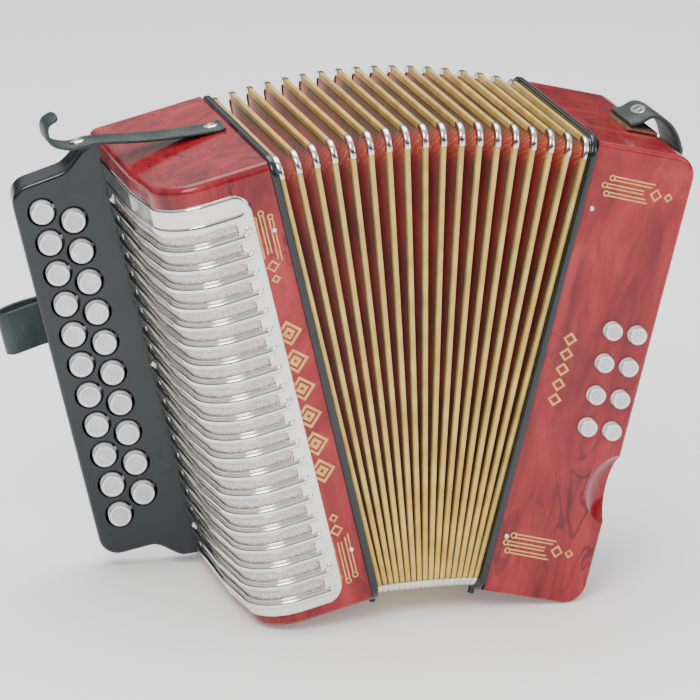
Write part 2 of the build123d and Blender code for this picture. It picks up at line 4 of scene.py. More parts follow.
import bmesh
import bpy
from mathutils import Matrix, Vector
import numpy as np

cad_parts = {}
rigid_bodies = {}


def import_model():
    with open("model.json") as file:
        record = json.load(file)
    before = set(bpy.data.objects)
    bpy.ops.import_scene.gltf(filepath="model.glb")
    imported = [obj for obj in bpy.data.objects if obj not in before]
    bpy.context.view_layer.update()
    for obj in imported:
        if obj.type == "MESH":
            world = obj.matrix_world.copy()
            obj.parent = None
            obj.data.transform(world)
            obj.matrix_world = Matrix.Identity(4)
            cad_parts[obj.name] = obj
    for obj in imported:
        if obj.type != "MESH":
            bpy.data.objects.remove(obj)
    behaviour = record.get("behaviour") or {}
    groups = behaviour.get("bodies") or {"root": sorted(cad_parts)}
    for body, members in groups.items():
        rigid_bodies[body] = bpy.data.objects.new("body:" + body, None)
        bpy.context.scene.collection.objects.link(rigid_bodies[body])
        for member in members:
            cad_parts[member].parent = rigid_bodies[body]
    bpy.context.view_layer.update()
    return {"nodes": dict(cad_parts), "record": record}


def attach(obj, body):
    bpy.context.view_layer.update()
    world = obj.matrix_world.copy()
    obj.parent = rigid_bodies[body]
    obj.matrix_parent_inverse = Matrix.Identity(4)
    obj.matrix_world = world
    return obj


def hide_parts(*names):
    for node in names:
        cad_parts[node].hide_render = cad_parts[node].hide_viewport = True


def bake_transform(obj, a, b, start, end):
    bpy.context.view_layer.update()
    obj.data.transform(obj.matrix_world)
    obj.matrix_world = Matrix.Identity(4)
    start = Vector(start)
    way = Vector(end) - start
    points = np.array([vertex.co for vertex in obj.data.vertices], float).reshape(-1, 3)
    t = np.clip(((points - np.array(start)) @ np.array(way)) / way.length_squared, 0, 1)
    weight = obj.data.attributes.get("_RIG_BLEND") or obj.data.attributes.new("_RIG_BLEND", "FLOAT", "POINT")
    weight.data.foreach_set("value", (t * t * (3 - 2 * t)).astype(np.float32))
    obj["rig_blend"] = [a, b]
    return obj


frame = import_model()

# ---- Where the instrument stands ----
# It stands open on the outer lower edges of its casings. Each casing is drawn upright in
# millimetres, x across from the bellows face, y back from the front, z up from the bottom,
# and its seat is the matrix that leans it into place.
casing_high, casing_deep = 280.0, 156.0
foot_reach = 30.0
millimetre = 0.001


def casing_seat(mount_name, reach):
    mount = next(m for m in frame["record"]["mounts"] if m["name"] == mount_name)
    up = -Vector(mount["axis"])
    across = Vector((up.z, 0, -up.x))
    back = Vector((0, 1, 0))
    seat = Matrix((across, back, up)).transposed().to_4x4() @ Matrix.Scale(millimetre, 4)
    seat.translation = (
        Vector(mount["pos_m"]) - (across * reach + back * casing_deep / 2) * millimetre
    )
    return seat


treble_seat = casing_seat("treble_foot", -foot_reach)
bass_seat = casing_seat("bass_foot", foot_reach)

# ---- Studio ----
# A sheet of white floor paper in a bright soft room, lit by three softboxes that hang round
# the instrument, and a catalogue camera on a stand with a long lens.
view_turn, view_drop, view_roll = math.radians(15.70), math.radians(17.61), math.radians(-0.71)
look_at = Vector((-0.0012, -0.0089, 0.1465))
camera_away, camera_lens = 3.1683, 273.3
look = Vector((
    math.sin(view_turn) * math.cos(view_drop),
    math.cos(view_turn) * math.cos(view_drop),
    -math.sin(view_drop),
))
camera_data = bpy.data.cameras.new("catalogue_camera")
camera_data.lens = camera_lens
camera_data.sensor_width = 36.0
camera_data.clip_end = 50.0
camera = bpy.data.objects.new("catalogue_camera", camera_data)
bpy.context.collection.objects.link(camera)
turned = look.to_track_quat("-Z", "Y").to_matrix().to_4x4() @ Matrix.Rotation(view_roll, 4, "Z")
camera.matrix_world = Matrix.Translation(look_at - look * camera_away) @ turned
bpy.context.scene.camera = camera


class Value:
    """A socket of a material; arithmetic on it adds Math nodes."""

    def __init__(self, tree, socket):
        self.tree, self.socket = tree, socket

    def _math(self, operation, left, right=None):
        node = self.tree.nodes.new("ShaderNodeMath")
        node.operation = operation
        for slot, side in zip(node.inputs, (left, right)):
            if isinstance(side, Value):
                self.tree.links.new(side.socket, slot)
            elif side is not None:
                slot.default_value = side
        return Value(self.tree, node.outputs[0])

    def __add__(self, other):
        return self._math("ADD", self, other)

    def __radd__(self, other):
        return self._math("ADD", other, self)

    def __sub__(self, other):
        return self._math("SUBTRACT", self, other)

    def __rsub__(self, other):
        return self._math("SUBTRACT", other, self)

    def __mul__(self, other):
        return self._math("MULTIPLY", self, other)

    def __rmul__(self, other):
        return self._math("MULTIPLY", other, self)

    def clamped(self):
        """The value held between 0 and 1."""
        return self._math("MINIMUM", self._math("MAXIMUM", self, 0.0), 1.0)


class Finish:
    """A material built from its nodes; the slot it is given is kept on it but not used."""

    def __init__(self, name, slot=None, **fixed):
        self.slot = slot
        self.material = bpy.data.materials.new(name)
        self.material.use_nodes = True
        self.tree = self.material.node_tree
        self.shader = self.tree.nodes["Principled BSDF"]
        for key, value in fixed.items():
            self.socket(key).default_value = value
        self.where = self.add("ShaderNodeTexCoord", out="Object")

    def socket(self, key):
        """The shader's own socket, by its name in small letters."""
        return next(s for s in self.shader.inputs if s.name.lower() == key.replace("_", " "))

    def add(self, kind, sockets=None, out=0, stops=None, **settings):
        """A node of that kind: its settings, then the values or links of its sockets."""
        node = self.tree.nodes.new(kind)
        for key, value in settings.items():
            setattr(node, key, value)
        if stops:
            ramp = node.color_ramp
            while len(ramp.elements) < len(stops):
                ramp.elements.new(0.5)
            for element, (place, colour) in zip(ramp.elements, stops):
                element.position = place
                element.color = (*colour, 1)
        for key, value in (sockets or {}).items():
            if isinstance(value, Value):
                self.tree.links.new(value.socket, node.inputs[key])
            else:
                node.inputs[key].default_value = value
        return Value(self.tree, node.outputs[out])

    def noise(self, scale, detail=4.0, rough=0.5, at=None, stretch=None, warp=0.0):
        """Fractal noise from 0 to 1; scale is in spots for each metre."""
        at = at or self.where
        if stretch:
            at = self.add("ShaderNodeMapping", {"Vector": at, "Scale": stretch})
        return self.add(
            "ShaderNodeTexNoise",
            {"Vector": at, "Scale": scale, "Detail": detail, "Roughness": rough, "Distortion": warp},
        )

    def ramp(self, value, *stops):
        """Colours or greys along a value."""
        stops = [(place, tone if isinstance(tone, tuple) else (tone,) * 3) for place, tone in stops]
        return self.add("ShaderNodeValToRGB", {"Fac": value}, stops=stops)

    def mix(self, mask, under, over):
        """Colour that goes from under to over as the mask goes from 0 to 1."""
        sockets = {"Factor": mask, "A": under, "B": over}
        node = self.tree.nodes.new("ShaderNodeMix")
        node.data_type = "RGBA"
        for name, value in sockets.items():
            slot = [s for s in node.inputs if s.name == name and s.enabled][0]
            if isinstance(value, Value):
                self.tree.links.new(value.socket, slot)
            else:
                slot.default_value = value if name == "Factor" else (*value, 1)
        return Value(self.tree, [s for s in node.outputs if s.enabled][0])

    def shade(self, bump=None, lift=0.0005, strength=1.0, **linked):
        """Link values to the shader; bump is a height in parts of lift, in metres."""
        if bump is not None:
            linked["normal"] = self.add(
                "ShaderNodeBump",
                {"Height": bump, "Distance": lift, "Strength": strength},
                out="Normal",
            )
        for key, value in linked.items():
            self.tree.links.new(value.socket, self.socket(key))
        return self.material


world = bpy.data.worlds.new("studio_room")
bpy.context.scene.world = world
world.use_nodes = True
room = world.node_tree
facing = room.nodes.new("ShaderNodeTexCoord")
apart = room.nodes.new("ShaderNodeSeparateXYZ")
room.links.new(facing.outputs["Generated"], apart.inputs[0])
height_band = room.nodes.new("ShaderNodeMapRange")
height_band.inputs["From Min"].default_value = -0.2
height_band.inputs["From Max"].default_value = 0.8
room.links.new(apart.outputs["Z"], height_band.inputs["Value"])
room_tone = room.nodes.new("ShaderNodeValToRGB")
bands = room_tone.color_ramp
for place, grey in ((0.0, 0.55), (0.17, 0.40), (0.27, 0.05), (0.40, 0.06), (0.55, 0.75), (1.0, 1.0)):
    if place == 0.0:
        stop = bands.elements[0]
    elif place == 1.0:
        stop = bands.elements[-1]
    else:
        stop = bands.elements.new(place)
    stop.color = (grey, grey, grey * 1.02, 1)
room.links.new(height_band.outputs[0], room_tone.inputs["Fac"])
room.links.new(room_tone.outputs["Color"], room.nodes["Background"].inputs["Color"])
room.nodes["Background"].inputs["Strength"].default_value = 0.8

for lamp_name, place, size, power, tint in (
    ("key_softbox", (-1.0, -1.6, 1.9), 1.2, 42, (1.0, 0.99, 0.97)),
    ("fill_softbox", (1.7, -1.5, 1.0), 1.0, 14, (0.97, 0.98, 1.0)),
    ("top_softbox", (0.1, 0.5, 1.9), 1.5, 34, (1.0, 1.0, 1.0)),
):
    lamp_data = bpy.data.lights.new(lamp_name, "AREA")
    lamp_data.size, lamp_data.energy, lamp_data.color = size, power, tint
    lamp = bpy.data.objects.new(lamp_name, lamp_data)
    lamp.matrix_world = (
        Matrix.Translation(place)
        @ (Vector((0, 0, 0.12)) - Vector(place)).to_track_quat("-Z", "Y").to_matrix().to_4x4()
    )
    bpy.context.collection.objects.link(lamp)

floor_mesh = bpy.data.meshes.new("studio_floor")
floor_mesh.from_pydata([(-9, -9, 0), (9, -9, 0), (9, 9, 0), (-9, 9, 0)], [], [(0, 1, 2, 3)])
studio_floor = bpy.data.objects.new("studio_floor", floor_mesh)
bpy.context.collection.objects.link(studio_floor)
floor_paper = Finish(
    "floor_paper", roughness=0.9, base_color=(0.95, 0.95, 0.95, 1),
    emission_color=(1, 1, 1, 1), emission_strength=0.22,
)
floor_mesh.materials.append(floor_paper.material)

# ---- Casings ----
# Thin wooden boxes covered in red pearl celluloid: a deep red with darker smoky streaks
# that run up the box and paler silky swirls, polished like glass and a little wavy where
# the sheet was drawn round an edge.


def celluloid(name, seat):
    """Pearl celluloid whose streaks run up the casing with that seat."""
    finish = Finish(name, roughness=0.2, coat_weight=0.3, coat_roughness=0.03, specular_ior_level=0.28)
    upright = seat.to_3x3().normalized().inverted().to_euler()
    along = finish.add("ShaderNodeMapping", {"Vector": finish.where, "Rotation": upright})
    drift = finish.noise(13.0, 3.0, at=along, stretch=(1, 1, 0.5), warp=0.6)
    silk = finish.noise(20.0, 6.0, 0.62, at=along, stretch=(1.0, 1.0, 0.4), warp=2.2)
    smoke = finish.noise(30.0, 5.0, 0.6, at=along, stretch=(1.0, 0.8, 0.16), warp=1.3)
    crease = finish.noise(24.0, 2.0, 0.5, at=along, stretch=(1.0, 1.0, 0.26), warp=2.8)
    red = finish.ramp(
        silk, (0.30, (0.19, 0.006, 0.012)), (0.50, (0.30, 0.013, 0.020)), (0.70, (0.42, 0.036, 0.042))
    )
    dark = finish.ramp(smoke, (0.50, 0.0), (0.68, 0.75))
    red = finish.mix(dark, red, (0.070, 0.006, 0.010))
    off_line = (crease - 0.5) * 50.0
    line = 1.0 - (off_line * off_line).clamped()
    patchy = (drift * 5.0 - 2.3).clamped()
    red = finish.mix(line * patchy * 0.7, red, (0.050, 0.004, 0.008))
    wave = finish.noise(26.0, 3.0, at=along)
    finish.shade(base_color=red, bump=wave, lift=0.0009, strength=0.4)
    return finish.material


def dress(node, material):
    """Give a CAD node its finish."""
    node_object = frame["nodes"][node]
    node_object.data.materials.clear()
    node_object.data.materials.append(material)
    for slot in node_object.material_slots:
        slot.material = material


treble_red = celluloid("treble_red_pearl", treble_seat)
bass_red = celluloid("bass_red_pearl", bass_seat)
dress("treble_casing", treble_red)
dress("bass_casing", bass_red)
dress("bass_end_cover", bass_red)


# ---- Grille ----
# One sheet of nickel silver, stamped with half-round ribs between open slots and bent round
# the casing's front corner, with a rolled border; a woven metal cloth lies behind it.
treble_wide = 71.0
nose_round, nose_step, taper_back = 26.0, 3.0, 60.0
nose_x = nose_round + nose_step - treble_wide
grille_edge, window_edge, window_end, grille_end = 15.0, 26.0, 118.0, 130.0
grille_low, grille_high, grille_corner = 7.5, 268.0, 12.0
rib_first, rib_step, rib_total = 15.6, 11.9, 21
rib_half, rib_height, rib_clear, slot_lip = 2.5, 2.3, 3.4, 0.9
sheet_lift, sheet_thick, border_roll = 1.5, 0.8, 2.4


def wrap_point(run, lift):
    """Point on the casing's plan outline, run along it from the bellows face, lifted off it."""
    front = -nose_x
    bend = nose_round * math.pi / 2
    if run <= front:
        return -run, -lift
    if run <= front + bend:
        turn = (run - front) / nose_round
        reach = nose_round + lift
        return nose_x - reach * math.sin(turn), nose_round - reach * math.cos(turn)
    back = run - front - bend
    slope = min(back / (taper_back - nose_round), 1.0)
    return -(treble_wide - nose_step + nose_step * slope) - lift, nose_round + back


run_nose = -nose_x + nose_round * math.pi / 2
run_window_end = run_nose + window_end - nose_round
run_grille_end = run_nose + grille_end - nose_round


def rib_lift(run, level):
    """How far the stamped sheet stands off the casing."""
    corner_in = max(0.0, grille_corner - (run - grille_edge))
    from_top = min(grille_high - level, level - grille_low)
    corner_up = max(0.0, grille_corner - from_top)
    if corner_in and corner_up:
        border = grille_corner - math.hypot(corner_in, corner_up)
    else:
        border = min(run - grille_edge, from_top)
    edge = min(max(border / border_roll, 0.0), 1.0)
    lift = sheet_lift * math.sqrt(1 - (1 - edge) ** 2) if edge < 1 else sheet_lift
    if border < rib_clear:
        return lift
    near = round((level - rib_first) / rib_step)
    near = min(max(near, 0), rib_total - 1)
    away = (level - rib_first - near * rib_step) / rib_half
    if abs(away) < 1:
        start = min(max((run - window_edge + 5.0) / 7.0, 0.0), 1.0)
        finish_run = min(max((run_grille_end - 3.0 - run) / 6.0, 0.0), 1.0)
        swell = math.sqrt(1 - (1 - start) ** 2) * math.sqrt(1 - (1 - finish_run) ** 2)
        tall = rib_height if near < rib_total - 1 else rib_height * 0.45
        lift += tall * swell * math.sqrt(1 - away * away)
    return lift


def grille_mesh():
    """The sheet as a grid of runs and levels, left open where the slots are."""
    runs_front = [grille_edge + (window_edge - grille_edge) * k / 9 for k in range(10)]
    runs_slot = [window_edge + (run_window_end - window_edge) * k / 74 for k in range(1, 75)]
    runs_back = [run_window_end + (run_grille_end - run_window_end) * k / 8 for k in range(1, 9)]
    runs = runs_front + runs_slot + runs_back
    first_slot, last_slot = len(runs_front) - 1, len(runs_front) + len(runs_slot) - 1
    levels = []
    for rib in range(rib_total):
        middle = rib_first + rib * rib_step
        for k in range(-8, 9):
            levels.append((middle + rib_half * math.sin(k / 8 * math.pi / 2), None))
        if rib < rib_total - 1:
            slot_low = middle + rib_half + slot_lip
            slot_high = middle + rib_step - rib_half - slot_lip
            levels += [(slot_low, "low"), (slot_high, "high")]
    top_end, low_end = levels[-1][0], levels[0][0]
    levels = [(grille_low + (low_end - grille_low) * k / 7, None) for k in range(7)] + levels
    levels += [(top_end + (grille_high - top_end) * k / 12, None) for k in range(1, 13)]
    points, faces = [], []
    for level, _ in levels:
        from_top = min(grille_high - level, level - grille_low)
        cut = max(0.0, grille_corner - from_top)
        inset = grille_corner - math.sqrt(max(grille_corner ** 2 - cut ** 2, 0.0))
        for run in runs:
            if run < window_edge:
                share = (run - grille_edge) / (window_edge - grille_edge)
                run = grille_edge + inset + share * (window_edge - grille_edge - inset)
            x, y = wrap_point(run, rib_lift(run, level))
            points.append((x, y, level))
    wide = len(runs)
    for row in range(len(levels) - 1):
        is_slot = levels[row][1] == "low"
        for col in range(wide - 1):
            if is_slot and first_slot <= col < last_slot:
                continue
            low, high = row * wide + col, (row + 1) * wide + col
            faces.append((low, high, high + 1, low + 1))
    mesh = bpy.data.meshes.new("sheet")
    mesh.from_pydata(points, [], faces)
    return mesh


def piece(name, mesh, seat, finish, body, smooth):
    """A mesh drawn in a seat's millimetres becomes a piece that rides on a body."""
    mesh.name = name
    mesh.transform(seat)
    mesh.materials.append(finish.material)
    mesh.shade_smooth()
    mesh.set_sharp_from_angle(angle=math.radians(smooth))
    made = bpy.data.objects.new(name, mesh)
    bpy.context.collection.objects.link(made)
    if body:
        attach(made, body)
    return made


def settle(made):
    """Even out the shading of a piece's big flat faces and bake its modifiers."""
    made.modifiers.new("even", "WEIGHTED_NORMAL").keep_sharp = True
    graph = bpy.context.evaluated_depsgraph_get()
    mesh = bpy.data.meshes.new_from_object(made.evaluated_get(graph))
    made.modifiers.clear()
    made.data = mesh
    return made


nickel = Finish("bright_nickel", "nickel", metallic=1.0)
tarnish = nickel.noise(35.0, 5.0, 0.6)
nickel_tone = nickel.ramp(tarnish, (0.30, (0.80, 0.78, 0.72)), (0.70, (0.90, 0.89, 0.85)))
nickel_dull = nickel.ramp(nickel.noise(90.0, 4.0), (0.3, 0.10), (0.75, 0.20))
nickel.shade(
    base_color=nickel_tone, roughness=nickel_dull,
    bump=nickel.noise(60.0, 2.0), lift=0.0002, strength=0.25,
)

grille = piece("stamped_grille", grille_mesh(), treble_seat, nickel, "treble", 60)
backing = grille.modifiers.new("sheet", "SOLIDIFY")
backing.thickness = sheet_thick * millimetre
backing.offset = -1.0
settle(grille)
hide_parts("treble_grille")

weave = Finish("woven_metal_cloth", metallic=0.55, roughness=0.42)
grain = weave.noise(900.0, 2.0, 0.7)
squeezed = weave.add("ShaderNodeMapping", {"Vector": weave.where, "Scale": (1, 1, 0.45)})
thread = weave.add("ShaderNodeTexVoronoi", {"Vector": squeezed, "Scale": 950.0}, out="Distance")
blush = weave.ramp(weave.noise(420.0, 3.0, 0.7), (0.42, (0.82, 0.80, 0.78)), (0.60, (0.85, 0.58, 0.54)))
silver = weave.ramp(grain, (0.38, (0.52, 0.46, 0.44)), (0.62, (1.0, 0.98, 0.96)))
cloth_tone = weave.mix(0.5, blush, silver)
weave.shade(base_color=cloth_tone, bump=thread, lift=0.0007, strength=0.8)
dress("grille_cloth", weave.material)

# ---- Black frames ----
# The wooden frames that the bellows are glued into: black lacquer, edges rounded over, held
# to the casings by pins through their sides.
frame_thick, frame_proud, bellows_inset, bellows_corner = 4.6, 2.0, 1.0, 9.0
fold_deep, frame_round = 24.0, 1.6


def rounded_outline(wide, high, centre, radius, steps=8):
    """Corner points of a rectangle with round corners, counter-clockwise."""
    points = []
    for corner, (sx, sy) in enumerate(((1, 1), (-1, 1), (-1, -1), (1, -1))):
        for step in range(steps + 1):
            turn = math.pi / 2 * (corner + step / steps)
            points.append((
                centre[0] + sx * (wide / 2 - radius) + radius * math.cos(turn),
                centre[1] + sy * (high / 2 - radius) + radius * math.sin(turn),
            ))
    return points


def mesh_from(bm):
    """The mesh of a finished edit."""
    mesh = bpy.data.meshes.new("mesh")
    bm.to_mesh(mesh)
    bm.free()
    return mesh


def plate(outlines, thick, round_edge, round_hole=None, segments=3):
    """Flat plate in x and y with holes: the first outline is its edge, the others its holes."""
    bm = bmesh.new()
    for outline in outlines:
        ring = [bm.verts.new((x, y, 0)) for x, y in outline]
        for here, there in zip(ring, ring[1:] + ring[:1]):
            bm.edges.new((here, there))
    bmesh.ops.triangle_fill(bm, use_beauty=True, use_dissolve=False, edges=bm.edges[:])
    grown = bmesh.ops.extrude_face_region(bm, geom=bm.faces[:])
    lifted = [item for item in grown["geom"] if isinstance(item, bmesh.types.BMVert)]
    bmesh.ops.translate(bm, verts=lifted, vec=(0, 0, thick))
    bmesh.ops.recalc_face_normals(bm, faces=bm.faces)
    edge_spots = {(round(x, 3), round(y, 3)) for x, y in outlines[0]}
    round_hole = round_edge if round_hole is None else round_hole
    for rounding, at_edge in ((round_edge, True), (round_hole, False)):
        rims = [
            edge for edge in bm.edges
            if len(edge.link_faces) == 2 and edge.calc_face_angle() > 1.2
            and abs(edge.verts[0].co.z - edge.verts[1].co.z) < 0.01
            and ((round(edge.verts[0].co.x, 3), round(edge.verts[0].co.y, 3)) in edge_spots) == at_edge
        ]
        if rounding and rims:
            bmesh.ops.bevel(
                bm, geom=rims, offset=rounding, segments=segments, profile=0.5, affect="EDGES"
            )
    return mesh_from(bm)


lacquer = Finish(
    "black_lacquer", "black_lacquer", coat_weight=0.35, coat_roughness=0.05, specular_ior_level=0.4
)
lacquer_tone = lacquer.ramp(
    lacquer.noise(30.0, 4.0), (0.3, (0.0045, 0.0085, 0.0105)), (0.75, (0.009, 0.015, 0.018))
)
lacquer_dull = lacquer.ramp(lacquer.noise(55.0, 5.0, 0.65), (0.35, 0.16), (0.75, 0.30))
lacquer.shade(
    base_color=lacquer_tone, roughness=lacquer_dull,
    bump=lacquer.noise(18.0, 2.0), lift=0.0004, strength=0.2,
)

upright_plate = Matrix(((0, 0, 1, 0), (1, 0, 0, 0), (0, 1, 0, 0), (0, 0, 0, 1)))
middle = (casing_deep / 2, casing_high / 2)
for side, seat, start in (("treble", treble_seat, 0.0), ("bass", bass_seat, -frame_thick)):
    rim = rounded_outline(
        casing_deep + 2 * frame_proud, casing_high + 2 * frame_proud, middle,
        bellows_corner + frame_proud + bellows_inset,
    )
    hole = rounded_outline(casing_deep - 2 * fold_deep, casing_high - 2 * fold_deep, middle, 3)
    mesh = plate([rim, hole], frame_thick, frame_round)
    mesh.transform(Matrix.Translation((start, 0, 0)) @ upright_plate)
    black_frame = piece(f"{side}_black_frame", mesh, seat, lacquer, side, 50)
    settle(black_frame)
    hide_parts(f"{side}_bellows_frame")

# ---- Bellows ----
# Card folds covered in cloth: a gold tape along every ridge, nickel caps on its corners,
# and leather gussets let into the valleys at the corners so that they can open.
fold_pitch, fan_angle, fold_total = 3.35, 27.3, 17
ridge_turn = math.radians(fan_angle / fold_total)
fan_radius = fold_pitch / ridge_turn
stand_off = 6.2
pole = Vector((stand_off, 0, bellows_inset - fan_radius))
tape_wide, ridge_swell = 2.9, 5.2


def at_turn(point, steps, across=0.0):
    """A point of the first ridge's plane, carried round the pole by that many folds."""
    turned_by = Matrix.Rotation(steps * ridge_turn, 3, "Y")
    swell = math.sin(math.pi * steps / fold_total) * (point.z / casing_high - 0.5) * ridge_swell
    return pole + turned_by @ (Vector((across, point.y, point.z + swell)) - Vector((0, 0, pole.z)))


def bellows_ring(inset, corner, steps=6, spacing=9.0):
    """Outline of the bellows drawn in by the inset, with the way out at each point."""
    wide = casing_deep - 2 * bellows_inset - 2 * inset
    high = casing_high - 2 * bellows_inset - 2 * inset
    ring = []
    for quarter, (sy, sz) in enumerate(((1, 1), (-1, 1), (-1, -1), (1, -1))):
        for step in range(steps + 1):
            turn = math.pi / 2 * (quarter + step / steps)
            out = Vector((0, math.cos(turn), math.sin(turn)))
            ring.append((Vector((
                0,
                casing_deep / 2 + sy * (wide / 2 - corner) + corner * out.y,
                casing_high / 2 + sz * (high / 2 - corner) + corner * out.z,
            )), out))
    filled = []
    for (here, out), (there, out_there) in zip(ring, ring[1:] + ring[:1]):
        gap = (there - here).length
        parts = max(1, round(gap / spacing))
        for part in range(parts):
            filled.append((here.lerp(there, part / parts), out.lerp(out_there, part / parts).normalized()))
    return filled


def smooth_back(weight):
    """The place along a blend at which it reaches that weight."""
    return 0.5 - math.sin(math.asin(1 - 2 * min(max(weight, 0.0), 1.0)) / 3)


def blend_turning(made, steps_low, steps_high, body, body_steps):
    """Bend a piece between the treble casing and a body further round the fan."""
    share_low, share_high = steps_low / body_steps, steps_high / body_steps
    level = Vector((0, 0, 200.0))
    if share_high - share_low < 1e-6:
        middle = treble_seat @ at_turn(level, steps_low)
        ahead = treble_seat @ at_turn(level, steps_low + 1) - treble_seat @ at_turn(level, steps_low - 1)
        way = ahead.normalized() * 4.0
        start = middle - way * smooth_back(share_low)
        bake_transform(made, "treble", body, start, start + way)
        return
    low = treble_seat @ at_turn(level, steps_low)
    high = treble_seat @ at_turn(level, steps_high)
    at_low, at_high = smooth_back(share_low), smooth_back(share_high)
    whole = (high - low) / (at_high - at_low)
    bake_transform(made, "treble", body, low - whole * at_low, low - whole * at_low + whole)


def ridge_body(ridge):
    """The body that a ridge turns nearest to, and how many folds round that body is."""
    if ridge >= fold_total - 1:
        return "bass", fold_total
    fold = (ridge + 1) // 2 if ridge % 2 else ridge // 2 + 1
    return f"bellows_fold_{fold}", 2 * fold - 0.5


gold_tape = Finish("gold_bellows_tape", "bellows_cloth", metallic=0.35, roughness=0.48)
tape_tone = gold_tape.ramp(
    gold_tape.noise(60.0, 5.0), (0.30, (0.50, 0.33, 0.075)), (0.72, (0.78, 0.57, 0.18))
)
gold_tape.shade(base_color=tape_tone, bump=gold_tape.noise(700.0, 2.0), lift=0.0002, strength=0.5)

pleat = Finish("bellows_cloth", "bellows_cloth", roughness=0.5, metallic=0.25, sheen_weight=0.2)
valley = pleat.add("ShaderNodeAttribute", attribute_name="depth_in", out="Fac")
corner_near = pleat.add("ShaderNodeAttribute", attribute_name="corner_near", out="Fac")
cloth_patch = pleat.noise(28.0, 5.0, 0.6)
edge_band = pleat.ramp(cloth_patch, (0.35, (0.10, 0.050, 0.018)), (0.70, (0.24, 0.13, 0.045)))
deep_red = pleat.ramp(cloth_patch, (0.32, (0.30, 0.009, 0.015)), (0.70, (0.62, 0.034, 0.032)))
band_end = (valley * 26.0 - 9.5 + cloth_patch * 3.0).clamped()
panel_tone = pleat.mix(band_end, edge_band, deep_red)
gusset = (corner_near * 1.6 - 0.25).clamped()
panel_tone = pleat.mix(gusset, panel_tone, (0.62, 0.055, 0.012))
thread_lines = pleat.add(
    "ShaderNodeTexWave",
    {"Vector": pleat.where, "Scale": 120.0, "Distortion": 5.0, "Detail": 3.0, "Detail Scale": 2.0},
    out=1, wave_type="BANDS", bands_direction="DIAGONAL",
)
thread_mask = (thread_lines * 5.0 - 4.0).clamped() * gusset
panel_tone = pleat.mix(thread_mask, panel_tone, (0.78, 0.42, 0.12))
pleat.shade(base_color=panel_tone, bump=pleat.noise(260.0, 3.0), lift=0.0005, strength=0.5)

ridge_ring = bellows_ring(0.0, bellows_corner)
panel_rows, panel_start, gusset_bulge, gusset_reach = 6, 0.5, 1.5, 3.0


def pleat_row(bm, panel, side, share):
    """One row of a panel's half, that share of the way from its ridge down to the valley."""
    inset = panel_start + share * (fold_deep - panel_start)
    toward = 0.5 * share * (1 if side == 0 else -1)
    depth_in = bm.verts.layers.float["depth_in"]
    corner_near = bm.verts.layers.float["corner_near"]
    row = []
    for point, _ in ridge_ring:
        edge_y = min(point.y - bellows_inset, casing_deep - bellows_inset - point.y)
        edge_z = min(point.z - bellows_inset, casing_high - bellows_inset - point.z)
        inner = Vector((
            0,
            min(max(point.y, inset + bellows_inset), casing_deep - bellows_inset - inset),
            min(max(point.z, inset + bellows_inset), casing_high - bellows_inset - inset),
        ))
        mitre = max(0.0, 1.0 - max(edge_y, edge_z) / (fold_deep + gusset_reach))
        bulge = mitre * share * (1 - share) * gusset_bulge
        vert = bm.verts.new(at_turn(inner, panel + side + toward * (1 - 0.55 * bulge)))
        vert[depth_in], vert[corner_near] = share, mitre
        row.append(vert)
    return row


def pleat_mesh(panel):
    """The panel between two ridges: both halves run down into the valley and meet there."""
    bm = bmesh.new()
    bm.verts.layers.float.new("depth_in")
    bm.verts.layers.float.new("corner_near")
    for side in (0, 1):
        rows = [pleat_row(bm, panel, side, step / panel_rows) for step in range(panel_rows + 1)]
        for low_row, high_row in zip(rows, rows[1:]):
            for step in range(len(ridge_ring)):
                after = (step + 1) % len(ridge_ring)
                bm.faces.new((low_row[step], low_row[after], high_row[after], high_row[step]))
    bmesh.ops.remove_doubles(bm, verts=bm.verts, dist=0.01)
    bmesh.ops.recalc_face_normals(bm, faces=bm.faces)
    return mesh_from(bm)


for panel in range(fold_total):
    made = piece(f"bellows_pleat_{panel + 1}", pleat_mesh(panel), treble_seat, pleat, None, 40)
    if panel >= fold_total - 2:
        body, body_steps = "bass", fold_total
    elif panel % 2:
        body, body_steps = f"bellows_fold_{(panel + 1) // 2 + 1}", panel + 2.5
    else:
        body, body_steps = f"bellows_fold_{(panel + 2) // 2}", panel + 1.5
    blend_turning(made, panel, panel + 1, body, body_steps)

# each tape is a strip folded over its ridge, seen as a half-round bead with two short flanks
tape_section = [(-tape_wide / 2, -3.2), (-tape_wide / 2, -0.6)]
tape_section += [
    (tape_wide / 2 * math.sin(turn), 0.75 * math.cos(turn) - 0.3)
    for turn in (math.radians(-78 + 26 * k) for k in range(7))
]
tape_section += [(tape_wide / 2, -0.6), (tape_wide / 2, -3.2)]
cap_section = [(x * 1.22, rise + (0.35 if rise > -1 else 0.0)) for x, rise in tape_section]


def loft(rings, around=True, closed=False, capped=True):
    """Skin over rings of points; around closes each ring, closed joins the last to the first."""
    count = len(rings[0])
    mesh = bpy.data.meshes.new("loft")
    points = [tuple(point) for ring in rings for point in ring]
    faces = []
    spans = len(rings) if closed else len(rings) - 1
    for ring in range(spans):
        low, high = ring * count, (ring + 1) % len(rings) * count
        for step in range(count if around else count - 1):
            after = (step + 1) % count
            faces.append((low + step, low + after, high + after, high + step))
    if capped and around and not closed:
        faces.append(tuple(reversed(range(count))))
        faces.append(tuple(range(len(points) - count, len(points))))
    mesh.from_pydata(points, [], faces)
    mesh.validate()
    bm = bmesh.new()
    bm.from_mesh(mesh)
    bmesh.ops.recalc_face_normals(bm, faces=bm.faces)
    bm.to_mesh(mesh)
    bm.free()
    return mesh


def ridge_loft(ridge, ring, section, around):
    """A section swept along a ridge's outline, all round or over a corner."""
    rings = [
        [at_turn(point + out * rise, ridge, across) for across, rise in section]
        for point, out in ring
    ]
    return loft(rings, around=False, closed=around, capped=False)


